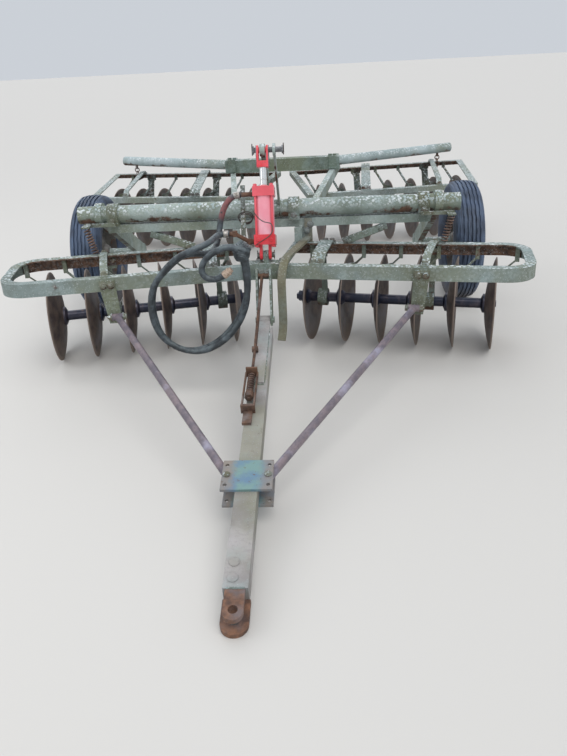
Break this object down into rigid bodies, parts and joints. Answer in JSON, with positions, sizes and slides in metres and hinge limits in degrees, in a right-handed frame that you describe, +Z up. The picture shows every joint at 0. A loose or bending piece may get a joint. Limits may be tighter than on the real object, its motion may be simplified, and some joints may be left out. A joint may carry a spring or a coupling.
{
  "type": "tandem disc harrow",
  "caption": "Wheeled tandem disc harrow with four angled gangs of disc blades, a towing tongue, and a rockshaft with two tyred wheels raised by a hydraulic cylinder.",
  "frame": {"origin": "middle of the bounding box, on the ground under it", "axes": "+X to the machine's right seen from behind the tongue, +Y from the hitch to the rear, +Z up"},
  "size_m": [2.9932, 4.6704, 1.09],
  "materials": {
    "frame_paint": "weathered green paint with pale lichen",
    "bracket_paint": "weathered dark green paint",
    "plate_paint": "weathered blue-green paint",
    "bare_rust": "rusty",
    "disc_steel": "worn, brown rust",
    "spool_iron": "dark blue-black, wet shine",
    "cylinder_paint": "bright red, slightly faded",
    "rod_chrome": "polished",
    "tyre_rubber": "old, ribbed",
    "rim_paint": "dull grey with rust",
    "hose_rubber": "black with green algae"
  },
  "bodies": {
    "chassis": {"hitch_clevis": "bare_rust", "tongue": "frame_paint", "tongue_clamp": "plate_paint", "braces": "bare_rust", "brace_brackets": "bracket_paint", "tongue_bracket": "bracket_paint", "levelling_rod": "bare_rust", "levelling_spring": "bare_rust", "main_frame": "frame_paint", "rear_beam": "frame_paint", "rear_arms": "frame_paint", "rear_chains": "bare_rust", "front_frame_left": "frame_paint", "front_frame_right": "frame_paint", "rear_frame_left": "frame_paint", "rear_frame_right": "frame_paint", "front_hangers": "bracket_paint", "rear_hangers": "bracket_paint", "front_scrapers": "bracket_paint", "rear_scrapers": "bracket_paint", "centre_shank": "bracket_paint", "shaft_bearings": "bracket_paint", "gang_springs": "bare_rust", "cylinder_anchor": "bracket_paint", "hose_support": "bracket_paint", "hose_long": "hose_rubber", "hose_short": "hose_rubber"},
    "lift_barrel": {"hose_fittings": "bare_rust", "cylinder_barrel": "cylinder_paint"},
    "lift_shaft": {"rockshaft": "frame_paint", "wheel_arms": "frame_paint"},
    "lift_rod": {"cylinder_rod": "rod_chrome", "cylinder_yoke": "cylinder_paint"},
    "wheel_left": {"tyre_left": "tyre_rubber", "rim_left": "rim_paint"},
    "wheel_right": {"tyre_right": "tyre_rubber", "rim_right": "rim_paint"},
    "gang_front_left": {"discs_front_left": "disc_steel", "arbor_front_left": "spool_iron"},
    "gang_front_right": {"discs_front_right": "disc_steel", "arbor_front_right": "spool_iron"},
    "gang_rear_left": {"discs_rear_left": "disc_steel", "arbor_rear_left": "spool_iron"},
    "gang_rear_right": {"discs_rear_right": "disc_steel", "arbor_rear_right": "spool_iron"}
  },
  "joints": [
    {"name": "rockshaft_turn", "type": "hinge", "parent": "chassis", "child": "lift_shaft", "pos_m": [0, -0.1917, 0.745], "axis": [-1, 0, 0], "range_deg": [-10, 19]},
    {"name": "cylinder_swing", "type": "hinge", "parent": "chassis", "child": "lift_barrel", "pos_m": [0.012, -0.5577, 0.604], "axis": [-1, 0, 0], "range_deg": [-5.2, 9.6]},
    {"name": "cylinder_stroke", "type": "slide", "parent": "lift_barrel", "child": "lift_rod", "axis": [0, 0.2942, 0.9557], "range_m": [-0.0525, 0.0995]},
    {"name": "wheel_left_turn", "type": "hinge", "parent": "lift_shaft", "child": "wheel_left", "pos_m": [-1.137, 0.5293, 0.357], "axis": [1, 0, 0], "continuous": true},
    {"name": "wheel_right_turn", "type": "hinge", "parent": "lift_shaft", "child": "wheel_right", "pos_m": [1.137, 0.5293, 0.357], "axis": [1, 0, 0], "continuous": true},
    {"name": "gang_front_left_turn", "type": "hinge", "parent": "chassis", "child": "gang_front_left", "pos_m": [0, -0.0617, 0.2375], "axis": [-0.9763, -0.2164, 0], "continuous": true},
    {"name": "gang_front_right_turn", "type": "hinge", "parent": "chassis", "child": "gang_front_right", "pos_m": [0, -0.0617, 0.2375], "axis": [0.9763, -0.2164, 0], "continuous": true},
    {"name": "gang_rear_left_turn", "type": "hinge", "parent": "chassis", "child": "gang_rear_left", "pos_m": [0, 1.8783, 0.2375], "axis": [-0.9877, 0.1564, 0], "continuous": true},
    {"name": "gang_rear_right_turn", "type": "hinge", "parent": "chassis", "child": "gang_rear_right", "pos_m": [0, 1.8783, 0.2375], "axis": [0.9877, 0.1564, 0], "continuous": true}
  ],
  "couplings": [
    {"joint": "cylinder_swing", "follows": "rockshaft_turn", "ratio": 0.4945},
    {"joint": "cylinder_stroke", "follows": "rockshaft_turn", "m_per_rad": 0.29794}
  ]
}
